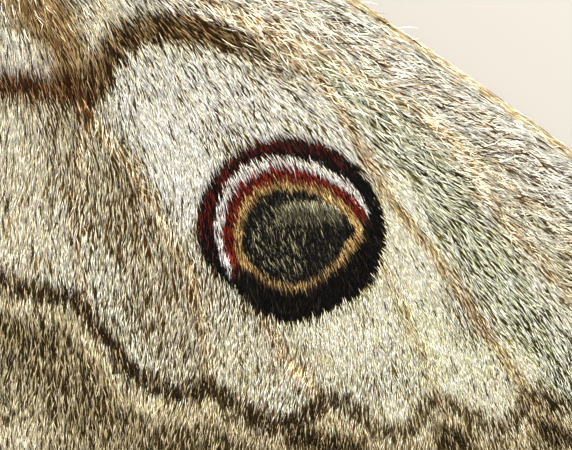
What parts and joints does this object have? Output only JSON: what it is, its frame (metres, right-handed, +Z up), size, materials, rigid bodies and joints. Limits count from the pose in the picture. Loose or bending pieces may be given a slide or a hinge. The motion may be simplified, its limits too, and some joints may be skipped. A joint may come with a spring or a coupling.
{
  "type": "emperor moth",
  "caption": "Still life-size emperor moth standing on its legs, wings spread flat, body furry, with an eye spot on each wing.",
  "frame": {"origin": "middle of the moth's length and width, on the floor that it stands on", "axes": "+Z up, head towards -Y, the moth's left wings towards +X"},
  "size_m": [0.0832, 0.0382, 0.0122],
  "materials": {
    "wing_scales": "dry powdery scales and hairs, no shine",
    "body_fur": "soft woolly coat",
    "leg_fur": "soft short coat",
    "antenna_horn": "dull horn",
    "eye_glaze": "glossy, finely faceted"
  },
  "bodies": {
    "root": {"head": "body_fur", "thorax": "body_fur", "abdomen": "body_fur", "eye_left": "eye_glaze", "eye_right": "eye_glaze", "antenna_left": "antenna_horn", "antenna_right": "antenna_horn", "forewing_left": "wing_scales", "forewing_right": "wing_scales", "hindwing_left": "wing_scales", "hindwing_right": "wing_scales", "leg_front_left": "leg_fur", "leg_front_right": "leg_fur", "leg_mid_left": "leg_fur", "leg_mid_right": "leg_fur", "leg_hind_left": "leg_fur", "leg_hind_right": "leg_fur"}
  },
  "joints": []
}
